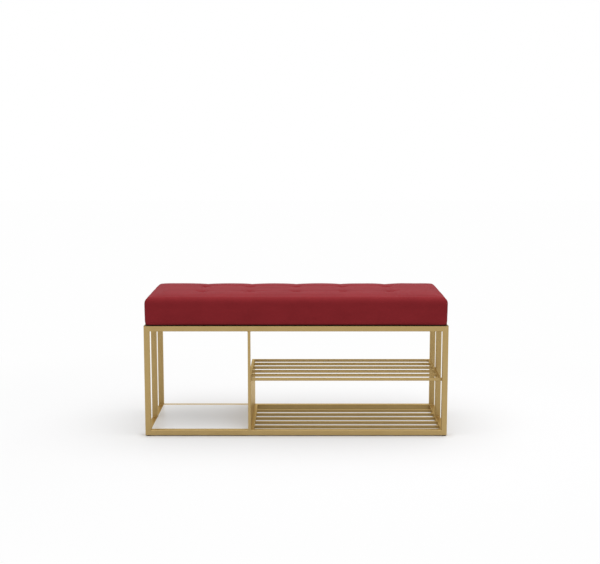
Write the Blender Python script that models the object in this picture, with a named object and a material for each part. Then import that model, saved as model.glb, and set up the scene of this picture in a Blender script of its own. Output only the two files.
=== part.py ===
# Shoe rack bench: a welded square-tube frame with a tufted seat cushion,
# a tall bay with a floor panel on the left and two racks of bars on the right.
# Metres, +Z up. The origin is on the floor under the middle of the bench,
# +X runs along the length to the right and the front faces -Y.

import math

import bmesh
import bpy
from mathutils import Vector

# Overall frame
BENCH_WIDTH = 1.100
BENCH_DEPTH = 0.400
FRAME_HEIGHT = 0.405

# Main square tube
TUBE_SIZE = 0.020
TUBE_WALL = 0.0015
TUBE_CORNER = 0.0018
INNER_CORNER_LEAST = 0.0003

# Thin square tube of the divider and the racks
BAR_SIZE = 0.010
BAR_WALL = 0.001
BAR_CORNER = 0.0012

# Clearances between pieces that touch
WELD_GAP = 0.0003
FIT_GAP = 0.0003

# Left bay and divider
BAY_WIDTH = 0.355
DIVIDER_SHEET = 0.002
BAY_PANEL_THICKNESS = 0.008

# Lower rack
LOWER_BARS = 5
LOWER_BAR_DROP = 0.0045

# Upper rack
UPPER_RACK_TOP = 0.212
UPPER_RACK_REAR_SPACE = 0.016
UPPER_BARS = 6
FRONT_BAR_LAP = 0.012

# Seat cushion and its board
CUSHION_INSET = 0.004
CUSHION_THICKNESS = 0.101
CUSHION_CROWN = 0.005
CROWN_FLATNESS_X = 8
CROWN_FLATNESS_Y = 4
CUSHION_TOP_CORNER = 0.003
CUSHION_TOP_EDGE = 0.022
CUSHION_BOTTOM_EDGE = 0.007
CUSHION_DRAW_IN = 0.0015
TUFT_COLUMNS = 5
TUFT_ROWS = 2
TUFT_END_BAY = 0.199
TUFT_SIDE_BAY = 0.1305
TUFT_DEPTH = 0.005
TUFT_SPREAD = 0.028
REAR_CREASE_DEPTH = 0.0045
FRONT_CREASE_DEPTH = 0.0015
CREASE_WIDTH = 0.022
BOARD_THICKNESS = 0.012
BOARD_MARGIN = 0.011

# Tabs and screws that hold the seat board and the bay panel
TAB_THICKNESS = 0.0025
TAB_WIDTH = 0.024
TAB_REACH = 0.022
SEAT_TAB_COLUMNS = 3
SEAT_TAB_INSET = 0.130
BAY_TAB_COLUMNS = 2
BAY_TAB_INSET = 0.065
SCREW_DIAMETER = 0.004
SCREW_HEAD_DIAMETER = 0.008
SCREW_HEAD_HEIGHT = 0.0024
SCREW_HEAD_ROUND = 0.0009
SCREW_TIP_DIAMETER = 0.001
SCREW_COVER = 0.003

# Feet
GLIDE_HEIGHT = 0.003
GLIDE_DIAMETER = 0.015
GLIDE_EDGE = 0.0008

# Smoothness of round forms
TUBE_CORNER_STEPS = 3
CUSHION_CORNER_STEPS = 3
CUSHION_EDGE_STEPS = 4
CUSHION_SIDE_STEPS = 3
CUSHION_HEM_STEPS = 3
ROUND_SIDES = 16
SHARP_ANGLE = math.radians(35)

# Places that follow from the sizes above
FRAME_BOTTOM = GLIDE_HEIGHT
FRAME_TOP = FRAME_BOTTOM + FRAME_HEIGHT
RAIL_TOP = FRAME_BOTTOM + TUBE_SIZE
HALF_WIDTH = BENCH_WIDTH / 2
HALF_DEPTH = BENCH_DEPTH / 2
HALF_TUBE = TUBE_SIZE / 2
HALF_BAR = BAR_SIZE / 2
INNER_X = HALF_WIDTH - TUBE_SIZE
INNER_Y = HALF_DEPTH - TUBE_SIZE
BAY_LEFT = -INNER_X
DIVIDER_LEFT = BAY_LEFT + BAY_WIDTH
DIVIDER_RAIL_RIGHT = DIVIDER_LEFT + TUBE_SIZE
DIVIDER_POST_RIGHT = DIVIDER_LEFT + BAR_SIZE
DIVIDER_POST_X = DIVIDER_LEFT + HALF_BAR
RACK_UNDERSIDE = UPPER_RACK_TOP - BAR_SIZE
CUSHION_HALF_X = HALF_WIDTH - CUSHION_INSET
CUSHION_HALF_Y = HALF_DEPTH - CUSHION_INSET
CUSHION_CORNER = CUSHION_TOP_CORNER + CUSHION_TOP_EDGE


def remove_everything():
    for item in list(bpy.data.objects):
        bpy.data.objects.remove(item, do_unlink=True)


def finish(name, colour, roughness, metallic):
    material = bpy.data.materials.new(name)
    material.use_nodes = True
    shader = material.node_tree.nodes["Principled BSDF"]
    shader.inputs["Base Color"].default_value = (*colour, 1.0)
    shader.inputs["Roughness"].default_value = roughness
    shader.inputs["Metallic"].default_value = metallic
    return material


def make_object(name, mesh_data, material):
    mesh = bpy.data.meshes.new(name)
    mesh_data.to_mesh(mesh)
    mesh_data.free()
    mesh.materials.append(material)
    mesh.shade_smooth()
    mesh.set_sharp_from_angle(angle=SHARP_ANGLE)
    piece = bpy.data.objects.new(name, mesh)
    bpy.context.scene.collection.objects.link(piece)
    return piece


# Square tube

def rounded_square(size, radius):
    points = []
    reach = size / 2 - radius
    for corner in range(4):
        turn = corner * math.pi / 2
        centre_angle = turn + math.pi / 4
        centre = reach * math.sqrt(2)
        for step in range(TUBE_CORNER_STEPS + 1):
            angle = turn + step / TUBE_CORNER_STEPS * math.pi / 2
            u = centre * math.cos(centre_angle) + radius * math.cos(angle)
            v = centre * math.sin(centre_angle) + radius * math.sin(angle)
            points.append((u, v))
    return points


def tube_ring(mesh_data, outline, origin, side, rise, axis, mitre):
    ring = []
    for u, v in outline:
        along = mitre * v
        ring.append(mesh_data.verts.new(origin + side * u + rise * v + axis * along))
    return ring


def square_tube(name, start, end, size, wall, corner, rise, material, mitres=(0, 0)):
    """A hollow tube from start to end. Each mitre slopes its end cut towards rise."""
    start = Vector(start)
    end = Vector(end)
    rise = Vector(rise)
    axis = (end - start).normalized()
    side = rise.cross(axis)
    outer = rounded_square(size, corner)
    inner = rounded_square(size - 2 * wall, max(corner - wall, INNER_CORNER_LEAST))
    mesh_data = bmesh.new()
    rings = []
    for outline in (outer, inner):
        for origin, mitre in ((start, mitres[0]), (end, mitres[1])):
            rings.append(tube_ring(mesh_data, outline, origin, side, rise, axis, mitre))
    outer_start, outer_end, inner_start, inner_end = rings
    count = len(outer)
    for i in range(count):
        j = (i + 1) % count
        mesh_data.faces.new((outer_start[i], outer_start[j], outer_end[j], outer_end[i]))
        mesh_data.faces.new((inner_start[j], inner_start[i], inner_end[i], inner_end[j]))
        mesh_data.faces.new((outer_start[j], outer_start[i], inner_start[i], inner_start[j]))
        mesh_data.faces.new((outer_end[i], outer_end[j], inner_end[j], inner_end[i]))
    bmesh.ops.recalc_face_normals(mesh_data, faces=mesh_data.faces)
    return make_object(name, mesh_data, material)


def main_tube(name, start, end, rise, material, mitres=(0, 0)):
    return square_tube(name, start, end, TUBE_SIZE, TUBE_WALL, TUBE_CORNER, rise, material, mitres)


def thin_tube(name, start, end, rise, material):
    return square_tube(name, start, end, BAR_SIZE, BAR_WALL, BAR_CORNER, rise, material)


# Front and rear frames: mitred rectangles of main tube

def end_frame(label, y, material):
    setback = WELD_GAP / math.sqrt(2)
    reach = HALF_WIDTH - HALF_TUBE - setback
    low = FRAME_BOTTOM + HALF_TUBE
    high = FRAME_TOP - HALF_TUBE
    for part, z, direction in (("bottom", low, -1), ("top", high, 1)):
        start = (-reach, y, z)
        end = (reach, y, z)
        main_tube(f"{label}_{part}_rail", start, end, (0, 0, direction), material, (-1, 1))
    for part, direction in (("left", -1), ("right", 1)):
        x = direction * (HALF_WIDTH - HALF_TUBE)
        start = (x, y, low + setback)
        end = (x, y, high - setback)
        main_tube(f"{label}_{part}_post", start, end, (direction, 0, 0), material, (-1, 1))


# Left and right sides: short rails with a post half way along

def side_frame(label, x, material):
    reach = INNER_Y - WELD_GAP
    for part, z in (("bottom", FRAME_BOTTOM + HALF_TUBE), ("top", FRAME_TOP - HALF_TUBE)):
        main_tube(f"{label}_{part}_rail", (x, -reach, z), (x, reach, z), (0, 0, 1), material)
    low = (x, 0, RAIL_TOP + WELD_GAP)
    high = (x, 0, FRAME_TOP - TUBE_SIZE - WELD_GAP)
    main_tube(f"{label}_middle_post", low, high, (1, 0, 0), material)


# Divider: a floor rail, a thin post at the front, a short one behind and a sheet between

def divider(material):
    reach = INNER_Y - WELD_GAP
    rail_x = DIVIDER_LEFT + HALF_TUBE
    rail_z = FRAME_BOTTOM + HALF_TUBE
    start = (rail_x, -reach, rail_z)
    main_tube("divider_bottom_rail", start, (rail_x, reach, rail_z), (0, 0, 1), material)
    foot = RAIL_TOP + WELD_GAP
    front_y = -HALF_DEPTH + HALF_BAR
    front_top = (DIVIDER_POST_X, front_y, FRAME_TOP - TUBE_SIZE - WELD_GAP)
    thin_tube("divider_front_post", (DIVIDER_POST_X, front_y, foot), front_top, (1, 0, 0), material)
    rear_y = HALF_DEPTH - HALF_BAR
    rear_top = (DIVIDER_POST_X, rear_y, RACK_UNDERSIDE)
    thin_tube("divider_rear_post", (DIVIDER_POST_X, rear_y, foot), rear_top, (1, 0, 0), material)
    sheet_y = HALF_DEPTH - BAR_SIZE - WELD_GAP
    low = (DIVIDER_POST_RIGHT - DIVIDER_SHEET, -sheet_y, foot)
    high = (DIVIDER_POST_RIGHT, sheet_y, RACK_UNDERSIDE - WELD_GAP)
    make_object("divider_sheet", box(low, high), material)


def box(low, high):
    mesh_data = bmesh.new()
    bmesh.ops.create_cube(mesh_data, size=1.0)
    low = Vector(low)
    high = Vector(high)
    size = high - low
    for vertex in mesh_data.verts:
        vertex.co = (vertex.co + Vector((0.5, 0.5, 0.5))) * size + low
    return mesh_data


# Lower rack: thin bars between the divider rail and the right rail

def lower_rack(material):
    z = RAIL_TOP - LOWER_BAR_DROP - HALF_BAR
    left = DIVIDER_RAIL_RIGHT + WELD_GAP
    right = INNER_X - WELD_GAP
    pitch = 2 * INNER_Y / (LOWER_BARS + 1)
    for number in range(1, LOWER_BARS + 1):
        y = -INNER_Y + number * pitch
        thin_tube(f"lower_rack_bar_{number}", (left, y, z), (right, y, z), (0, 0, 1), material)


# Upper rack: a side rail at each end and thin bars between them. The front bar
# runs on behind the right front post

def upper_rack(material):
    z = UPPER_RACK_TOP - HALF_BAR
    front = -INNER_Y + WELD_GAP
    rear = INNER_Y - UPPER_RACK_REAR_SPACE
    left_x = DIVIDER_POST_X
    left_front = -HALF_DEPTH + BAR_SIZE + WELD_GAP
    thin_tube("upper_rack_left_rail", (left_x, left_front, z), (left_x, rear, z), (0, 0, 1), material)
    right_x = INNER_X - WELD_GAP - HALF_BAR
    right_front = front + BAR_SIZE + WELD_GAP
    thin_tube("upper_rack_right_rail", (right_x, right_front, z), (right_x, rear, z), (0, 0, 1), material)
    left = DIVIDER_POST_RIGHT + WELD_GAP
    front_right = INNER_X + FRONT_BAR_LAP
    right = right_x - HALF_BAR - WELD_GAP
    pitch = (rear - front - BAR_SIZE) / (UPPER_BARS - 1)
    for number in range(1, UPPER_BARS + 1):
        y = front + HALF_BAR + (number - 1) * pitch
        end = front_right if number == 1 else right
        thin_tube(f"upper_rack_bar_{number}", (left, y, z), (end, y, z), (0, 0, 1), material)


# Turned pieces: screws and glides

def turned(mesh_data, profile, centre):
    """Revolve a profile of radius and height, from its foot up, about a vertical axis."""
    centre = Vector(centre)
    rings = []
    for radius, z in profile:
        ring = []
        for i in range(ROUND_SIDES):
            angle = 2 * math.pi * i / ROUND_SIDES
            spot = Vector((radius * math.cos(angle), radius * math.sin(angle), z))
            ring.append(mesh_data.verts.new(centre + spot))
        rings.append(ring)
    for below, above in zip(rings, rings[1:]):
        for i in range(ROUND_SIDES):
            j = (i + 1) % ROUND_SIDES
            mesh_data.faces.new((below[i], below[j], above[j], above[i]))
    mesh_data.faces.new(list(reversed(rings[0])))
    mesh_data.faces.new(rings[-1])


def screw_profile(bite):
    """A pan head under the tab and a shank through it into the board above."""
    head = SCREW_HEAD_DIAMETER / 2
    shank = SCREW_DIAMETER / 2
    under_tab = -TAB_THICKNESS - FIT_GAP
    foot = under_tab - SCREW_HEAD_HEIGHT
    return (
        (head - SCREW_HEAD_ROUND, foot),
        (head, foot + SCREW_HEAD_ROUND),
        (head, under_tab),
        (shank, under_tab),
        (shank, bite - shank),
        (SCREW_TIP_DIAMETER / 2, bite),
    )


# Tabs: small plates welded inside the rails, each with a screw from below

def tab_places(first_x, last_x, columns):
    """Each tab's middle along its rail, and the side of the bench it is on."""
    spacing = (last_x - first_x) / (columns - 1)
    xs = [first_x + column * spacing for column in range(columns)]
    return [(x, side) for side in (-1, 1) for x in xs]


def screw_spot(x, side):
    return x, side * (INNER_Y - TAB_REACH / 2)


def hole_cutter(name, places, low, high):
    radius = SCREW_DIAMETER / 2 + FIT_GAP
    mesh_data = bmesh.new()
    for x, side in places:
        turned(mesh_data, ((radius, low), (radius, high)), (*screw_spot(x, side), 0))
    mesh = bpy.data.meshes.new(name)
    mesh_data.to_mesh(mesh)
    mesh_data.free()
    cutter = bpy.data.objects.new(name, mesh)
    cutter.hide_render = True
    cutter.display_type = "WIRE"
    bpy.context.scene.collection.objects.link(cutter)
    return cutter


def drill(piece, cutter):
    modifier = piece.modifiers.new("screw_holes", "BOOLEAN")
    modifier.operation = "DIFFERENCE"
    modifier.solver = "EXACT"
    modifier.object = cutter


def tabs_and_screws(label, places, top, bite, cutter, tab_material, screw_material):
    for number, (x, side) in enumerate(places, start=1):
        near = side * (INNER_Y - TAB_REACH)
        far = side * (INNER_Y - WELD_GAP)
        low = (x - TAB_WIDTH / 2, min(near, far), top - TAB_THICKNESS)
        high = (x + TAB_WIDTH / 2, max(near, far), top)
        tab = make_object(f"{label}_tab_{number}", box(low, high), tab_material)
        drill(tab, cutter)
        mesh_data = bmesh.new()
        turned(mesh_data, screw_profile(bite), (*screw_spot(x, side), top))
        make_object(f"{label}_screw_{number}", mesh_data, screw_material)


# Bay floor: a white panel flush with the rails, on four tabs

def bay_floor(panel_material, tab_material, screw_material):
    underside = RAIL_TOP - BAY_PANEL_THICKNESS
    tab_top = underside - FIT_GAP
    first_x = BAY_LEFT + BAY_TAB_INSET
    last_x = DIVIDER_LEFT - BAY_TAB_INSET
    places = tab_places(first_x, last_x, BAY_TAB_COLUMNS)
    low = (BAY_LEFT + FIT_GAP, -INNER_Y + FIT_GAP, underside)
    high = (DIVIDER_LEFT - FIT_GAP, INNER_Y - FIT_GAP, RAIL_TOP)
    panel = make_object("bay_floor_panel", box(low, high), panel_material)
    bite = BAY_PANEL_THICKNESS - SCREW_COVER
    cutter = hole_cutter("bay_screw_holes", places, FRAME_BOTTOM, tab_top + bite + FIT_GAP)
    drill(panel, cutter)
    tabs_and_screws("bay", places, tab_top, bite, cutter, tab_material, screw_material)


# Seat cushion

def grid_stations(edge, tufts):
    """Grid lines from one edge to the other, with lines on and beside each tuft."""
    lines = [-edge]
    for index, tuft in enumerate(tufts):
        previous = tufts[index - 1] if index else -edge
        lines.append((previous + tuft) / 2)
        lines.extend((tuft - CREASE_WIDTH, tuft, tuft + CREASE_WIDTH))
    lines.append((tufts[-1] + edge) / 2)
    lines.append(edge)
    return lines


def tuft_lines(count, half_size, end_bay):
    """Evenly spaced tufts, with the same end bay at both ends."""
    first = end_bay - half_size
    if count == 1:
        return [0.0]
    pitch = -2 * first / (count - 1)
    return [first + i * pitch for i in range(count)]


def tuft_columns():
    return tuft_lines(TUFT_COLUMNS, CUSHION_HALF_X, TUFT_END_BAY)


def tuft_rows():
    return tuft_lines(TUFT_ROWS, CUSHION_HALF_Y, TUFT_SIDE_BAY)


def cushion_outline(xs, ys, inset):
    """The plan outline, anticlockwise from the front left, drawn in by inset."""
    edge_x = CUSHION_HALF_X - inset
    edge_y = CUSHION_HALF_Y - inset
    radius = CUSHION_CORNER - inset
    corner_x = CUSHION_HALF_X - CUSHION_CORNER
    corner_y = CUSHION_HALF_Y - CUSHION_CORNER
    points = []

    def corner(sign_x, sign_y, first_angle):
        for step in range(1, CUSHION_CORNER_STEPS):
            angle = first_angle + step / CUSHION_CORNER_STEPS * math.pi / 2
            x = sign_x * corner_x + radius * math.cos(angle)
            y = sign_y * corner_y + radius * math.sin(angle)
            points.append((x, y))

    points.extend((x, -edge_y) for x in xs)
    corner(1, -1, -math.pi / 2)
    points.extend((edge_x, y) for y in ys)
    corner(1, 1, 0)
    points.extend((x, edge_y) for x in reversed(xs))
    corner(-1, 1, math.pi / 2)
    points.extend((-edge_x, y) for y in reversed(ys))
    corner(-1, -1, math.pi)
    return points


def crease(x, y):
    """How deep the folds that run from front to back are, deepest at the rear edge."""
    nearness = 0.0
    for tuft in tuft_columns():
        nearness = max(nearness, math.exp(-abs(x - tuft) / CREASE_WIDTH))
    rearward = (y / HALF_DEPTH + 1) / 2
    depth = FRONT_CREASE_DEPTH + (REAR_CREASE_DEPTH - FRONT_CREASE_DEPTH) * rearward
    return depth * nearness


def dimple(x, y):
    """How far the stitched tufts pull the top down at a point."""
    pull = 0.0
    for tuft_x in tuft_columns():
        for tuft_y in tuft_rows():
            distance = math.hypot(x - tuft_x, y - tuft_y)
            pull = max(pull, math.exp(-(distance / TUFT_SPREAD) ** 2))
    return TUFT_DEPTH * pull


def cushion_top(x, y):
    """Height of the top over its own edge: the crown less the folds and tufts."""
    along = 1 - abs(x / HALF_WIDTH) ** CROWN_FLATNESS_X
    across = 1 - abs(y / HALF_DEPTH) ** CROWN_FLATNESS_Y
    return CUSHION_CROWN * along * across - crease(x, y) - dimple(x, y)


def draw_in(x, y, height):
    """The sides pull in between the corners and between the two edges."""
    along = math.cos(math.pi / 2 * min(abs(x) / HALF_WIDTH, abs(y) / HALF_DEPTH))
    return CUSHION_DRAW_IN * along * math.sin(math.pi * height)


def cushion_rings(xs, ys, bottom):
    """Rings of points from the top edge's inner side down to the board's recess."""
    top = bottom + CUSHION_THICKNESS
    rings = []
    for step in range(CUSHION_EDGE_STEPS + 1):
        angle = step / CUSHION_EDGE_STEPS * math.pi / 2
        inset = CUSHION_TOP_EDGE * (1 - math.sin(angle))
        drop = CUSHION_TOP_EDGE * (1 - math.cos(angle))
        fade = math.cos(angle)
        outline = cushion_outline(xs, ys, inset)
        rings.append([(x, y, top - drop + fade * cushion_top(x, y)) for x, y in outline])
    side_top = top - CUSHION_TOP_EDGE
    side_bottom = bottom + CUSHION_BOTTOM_EDGE
    for step in range(1, CUSHION_SIDE_STEPS + 1):
        height = step / CUSHION_SIDE_STEPS
        z = side_top + (side_bottom - side_top) * height
        ring = []
        for x, y in cushion_outline(xs, ys, 0.0):
            pull = draw_in(x, y, height)
            shrink_x = 1 - pull / HALF_WIDTH
            shrink_y = 1 - pull / HALF_DEPTH
            ring.append((x * shrink_x, y * shrink_y, z))
        rings.append(ring)
    lower = []
    for step in range(1, CUSHION_HEM_STEPS + 1):
        angle = step / CUSHION_HEM_STEPS * math.pi / 2
        inset = CUSHION_BOTTOM_EDGE * (1 - math.cos(angle))
        lower.append((inset, bottom + CUSHION_BOTTOM_EDGE * (1 - math.sin(angle))))
    lower.append((BOARD_MARGIN, bottom))
    lower.append((BOARD_MARGIN, bottom + BOARD_THICKNESS + 2 * FIT_GAP))
    for inset, z in lower:
        rings.append([(x, y, z) for x, y in cushion_outline(xs, ys, inset)])
    return rings


def cushion_cap(mesh_data, xs, ys, bottom, rim):
    """The tufted top inside its rim: a grid, with a fan at each rounded corner."""
    top = bottom + CUSHION_THICKNESS
    grid = []
    for y in ys:
        row = [mesh_data.verts.new((x, y, top + cushion_top(x, y))) for x in xs]
        grid.append(row)
    for low, high in zip(grid, grid[1:]):
        for i in range(len(xs) - 1):
            mesh_data.faces.new((low[i], low[i + 1], high[i + 1], high[i]))
    front = grid[0]
    right = [row[-1] for row in grid]
    rear = list(reversed(grid[-1]))
    left = [row[0] for row in reversed(grid)]
    border = []
    for side in (front, right, rear, left):
        border.extend(side)
        border.extend([side[-1]] * (CUSHION_CORNER_STEPS - 1))
    count = len(rim)
    for i in range(count):
        j = (i + 1) % count
        corners = [rim[i], rim[j], border[j], border[i]]
        if border[i] is border[j]:
            corners.pop()
        mesh_data.faces.new(corners)


def cushion_grid():
    xs = grid_stations(CUSHION_HALF_X - CUSHION_CORNER, tuft_columns())
    ys = grid_stations(CUSHION_HALF_Y - CUSHION_CORNER, tuft_rows())
    return xs, ys


def seat_cushion(material):
    bottom = FRAME_TOP + FIT_GAP
    xs, ys = cushion_grid()
    mesh_data = bmesh.new()
    rings = []
    for ring in cushion_rings(xs, ys, bottom):
        rings.append([mesh_data.verts.new(point) for point in ring])
    for above, below in zip(rings, rings[1:]):
        count = len(above)
        for i in range(count):
            j = (i + 1) % count
            mesh_data.faces.new((above[i], below[i], below[j], above[j]))
    cushion_cap(mesh_data, xs, ys, bottom, rings[0])
    mesh_data.faces.new(list(reversed(rings[-1])))
    bmesh.ops.recalc_face_normals(mesh_data, faces=mesh_data.faces)
    make_object("seat_cushion", mesh_data, material)


# Seat board: stiffens the cushion from below and takes the screws

def seat_board(board_material, tab_material, screw_material):
    bottom = FRAME_TOP + FIT_GAP
    xs, ys = cushion_grid()
    outline = cushion_outline(xs, ys, BOARD_MARGIN + FIT_GAP)
    mesh_data = bmesh.new()
    low = [mesh_data.verts.new((x, y, bottom)) for x, y in outline]
    high = [mesh_data.verts.new((x, y, bottom + BOARD_THICKNESS)) for x, y in outline]
    count = len(outline)
    for i in range(count):
        j = (i + 1) % count
        mesh_data.faces.new((low[i], low[j], high[j], high[i]))
    mesh_data.faces.new(list(reversed(low)))
    mesh_data.faces.new(high)
    board = make_object("seat_board", mesh_data, board_material)
    places = tab_places(SEAT_TAB_INSET - INNER_X, INNER_X - SEAT_TAB_INSET, SEAT_TAB_COLUMNS)
    bite = BOARD_THICKNESS - SCREW_COVER
    hole_top = FRAME_TOP + bite + FIT_GAP
    cutter = hole_cutter("seat_screw_holes", places, FRAME_TOP - TUBE_SIZE, hole_top)
    drill(board, cutter)
    tabs_and_screws("seat", places, FRAME_TOP, bite, cutter, tab_material, screw_material)


# Glides under the four corners

def glides(material):
    radius = GLIDE_DIAMETER / 2
    profile = (
        (radius - GLIDE_EDGE, 0.0),
        (radius, GLIDE_EDGE),
        (radius, GLIDE_HEIGHT - FIT_GAP),
    )
    for depth_name, depth_side in (("front", -1), ("rear", 1)):
        for width_name, width_side in (("left", -1), ("right", 1)):
            x = width_side * (HALF_WIDTH - HALF_TUBE)
            y = depth_side * (HALF_DEPTH - HALF_TUBE)
            mesh_data = bmesh.new()
            turned(mesh_data, profile, (x, y, 0))
            make_object(f"{depth_name}_{width_name}_glide", mesh_data, material)


def build_bench():
    remove_everything()
    gold_paint = finish("gold_paint", (0.42, 0.30, 0.145), 0.42, 0.55)
    white_laminate = finish("white_laminate", (0.80, 0.80, 0.78), 0.45, 0.0)
    red_velvet = finish("red_velvet", (0.22, 0.022, 0.028), 0.85, 0.0)
    plywood = finish("plywood", (0.48, 0.33, 0.19), 0.75, 0.0)
    black_plastic = finish("black_plastic", (0.02, 0.02, 0.02), 0.55, 0.0)
    zinc_steel = finish("zinc_steel", (0.58, 0.58, 0.56), 0.35, 1.0)
    end_frame("front", -HALF_DEPTH + HALF_TUBE, gold_paint)
    end_frame("rear", HALF_DEPTH - HALF_TUBE, gold_paint)
    side_frame("left", -HALF_WIDTH + HALF_TUBE, gold_paint)
    side_frame("right", HALF_WIDTH - HALF_TUBE, gold_paint)
    divider(gold_paint)
    lower_rack(gold_paint)
    upper_rack(gold_paint)
    bay_floor(white_laminate, gold_paint, zinc_steel)
    seat_cushion(red_velvet)
    seat_board(plywood, gold_paint, zinc_steel)
    glides(black_plastic)


build_bench()
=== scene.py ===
import math
import random

import bmesh
import bpy
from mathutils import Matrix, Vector, noise
from mathutils.bvhtree import BVHTree


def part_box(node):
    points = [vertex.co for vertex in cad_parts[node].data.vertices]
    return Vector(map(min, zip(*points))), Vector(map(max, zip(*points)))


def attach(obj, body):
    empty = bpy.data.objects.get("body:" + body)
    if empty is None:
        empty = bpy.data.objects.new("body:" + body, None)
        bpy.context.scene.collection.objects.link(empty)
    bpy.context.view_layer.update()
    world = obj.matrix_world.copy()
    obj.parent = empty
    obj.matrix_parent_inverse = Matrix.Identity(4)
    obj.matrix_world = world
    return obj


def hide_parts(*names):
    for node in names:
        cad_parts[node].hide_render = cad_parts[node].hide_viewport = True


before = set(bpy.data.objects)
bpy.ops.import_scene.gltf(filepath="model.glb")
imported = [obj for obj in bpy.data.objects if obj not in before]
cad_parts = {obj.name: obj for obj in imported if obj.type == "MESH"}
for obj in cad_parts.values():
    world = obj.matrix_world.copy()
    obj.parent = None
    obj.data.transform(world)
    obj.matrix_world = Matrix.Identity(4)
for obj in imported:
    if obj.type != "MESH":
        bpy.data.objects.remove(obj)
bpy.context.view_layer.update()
scene = bpy.context.scene
scene.view_settings.view_transform = "Standard"


# The studio: a camera at the photograph's angle, a pale floor that fades into white, and
# soft light from above and all round. None of it belongs to the bench.


def placed(name, data):
    """Puts a new object in the scene."""
    made = bpy.data.objects.new(name, data)
    scene.collection.objects.link(made)
    return made


camera_data = bpy.data.cameras.new("studio_camera")
camera_data.lens = 66.04
camera_data.sensor_width = 36.0
camera_data.clip_end = 60.0
camera = placed("studio_camera", camera_data)
camera.location = (0.0141, -4.1078, 1.0966)
camera.rotation_euler = (math.radians(82.30), 0.0, 0.0)
scene.camera = camera


def add_node(tree, kind, values=None, **settings):
    """A node with its settings and its socket values, where a value may be another socket."""
    made = tree.nodes.new(kind)
    for key, value in settings.items():
        setattr(made, key, value)
    for key, value in (values or {}).items():
        if isinstance(value, bpy.types.NodeSocket):
            tree.links.new(value, made.inputs[key])
        else:
            made.inputs[key].default_value = value
    return made


def worked(tree, operation, *terms):
    """One step of arithmetic on numbers or sockets."""
    return add_node(tree, "ShaderNodeMath", dict(enumerate(terms)), operation=operation).outputs[0]


def vectors_worked(tree, operation, *terms):
    """One step of arithmetic on vectors, which gives a number for a length or a dot product."""
    made = add_node(tree, "ShaderNodeVectorMath", dict(enumerate(terms)), operation=operation)
    return made.outputs[1 if operation in ("LENGTH", "DOT_PRODUCT") else 0]


def spread(tree, value, start, end, low=0.0, high=1.0, smooth=False):
    """How far the value has come from start to end, told from low to high."""
    return add_node(tree, "ShaderNodeMapRange", {0: value, 1: start, 2: end, 3: low, 4: high},
                    interpolation_type="SMOOTHSTEP" if smooth else "LINEAR").outputs[0]


def seen_directly(tree):
    """1 for camera, glossy and transmission rays, 0 for the rays that light the bench."""
    path = add_node(tree, "ShaderNodeLightPath")
    seen = worked(tree, "MAXIMUM", path.outputs["Is Camera Ray"], path.outputs["Is Glossy Ray"])
    return worked(tree, "MAXIMUM", seen, path.outputs["Is Transmission Ray"])


AIR_LIGHT = 0.76
AIR_COLOUR = (1.0, 1.0, 1.0, 1.0)

air = bpy.data.worlds.new("studio_air")
air.use_nodes = True
air.node_tree.nodes.clear()
lit = add_node(air.node_tree, "ShaderNodeBackground", {"Color": AIR_COLOUR, "Strength": AIR_LIGHT})
shown = add_node(air.node_tree, "ShaderNodeBackground", {"Color": AIR_COLOUR, "Strength": 1.0})
both = add_node(air.node_tree, "ShaderNodeMixShader", {0: seen_directly(air.node_tree),
                                                       1: lit.outputs[0], 2: shown.outputs[0]})
add_node(air.node_tree, "ShaderNodeOutputWorld", {0: both.outputs[0]})
scene.world = air

FLOOR_REACH = 14.0
FLOOR_COLOUR = (0.845, 0.845, 0.85, 1.0)
FLOOR_CLEAR = (0.56, 0.21)
FLOOR_WHITE_UNDER = 0.02
FLOOR_PAINTED_LIGHT_UNDER = 0.36
FLOOR_WHITE_NEAR = 0.37
FLOOR_NEAR = 0.022
FLOOR_FAR = 1.3
FLOOR_INSIDE_EDGE = (0.183, 0.150)
FLOOR_INSIDE_END = 0.02

floor_mesh = bpy.data.meshes.new("studio_floor")
floor_mesh.from_pydata(
    [(-FLOOR_REACH, -FLOOR_REACH, 0), (FLOOR_REACH, -FLOOR_REACH, 0),
     (FLOOR_REACH, FLOOR_REACH, 0), (-FLOOR_REACH, FLOOR_REACH, 0)], [], [(0, 1, 2, 3)])
floor = placed("studio_floor", floor_mesh)
floor_paint = bpy.data.materials.new("studio_floor_white")
floor_paint.use_nodes = True
tree = floor_paint.node_tree
tree.nodes.clear()
spot = add_node(tree, "ShaderNodeTexCoord").outputs["Object"]
sides = vectors_worked(tree, "ABSOLUTE", spot)
past = vectors_worked(tree, "SUBTRACT", sides, (*FLOOR_CLEAR, 0.0))
reach = vectors_worked(tree, "LENGTH", vectors_worked(tree, "MAXIMUM", past, (0.0, 0.0, 0.0)))
close = spread(tree, reach, 0.0, FLOOR_NEAR, FLOOR_WHITE_UNDER, FLOOR_WHITE_NEAR)
away = spread(tree, reach, FLOOR_NEAR, FLOOR_FAR, 0.0, 1.0 - FLOOR_WHITE_NEAR, smooth=True)
# Painted light: camera rays see the floor glow whiter between the rails under the bench, where the
# bench shades it.
depth = add_node(tree, "ShaderNodeSeparateXYZ", {0: sides}).outputs[1]
painted_floor_light = worked(tree, "MULTIPLY", spread(tree, depth, *FLOOR_INSIDE_EDGE, 0.0, FLOOR_PAINTED_LIGHT_UNDER),
                spread(tree, reach, 0.0, FLOOR_INSIDE_END, 1.0, 0.0))
fade = worked(tree, "ADD", worked(tree, "ADD", close, away), painted_floor_light)
white_share = worked(tree, "MULTIPLY", fade, seen_directly(tree))
matt = add_node(tree, "ShaderNodeBsdfDiffuse", {"Color": FLOOR_COLOUR})
white = add_node(tree, "ShaderNodeEmission", {"Color": AIR_COLOUR, "Strength": 0.992})
mixed = add_node(tree, "ShaderNodeMixShader", {0: white_share, 1: matt.outputs[0],
                                               2: white.outputs[0]})
add_node(tree, "ShaderNodeOutputMaterial", {0: mixed.outputs[0]})
floor_mesh.materials.append(floor_paint)

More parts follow.
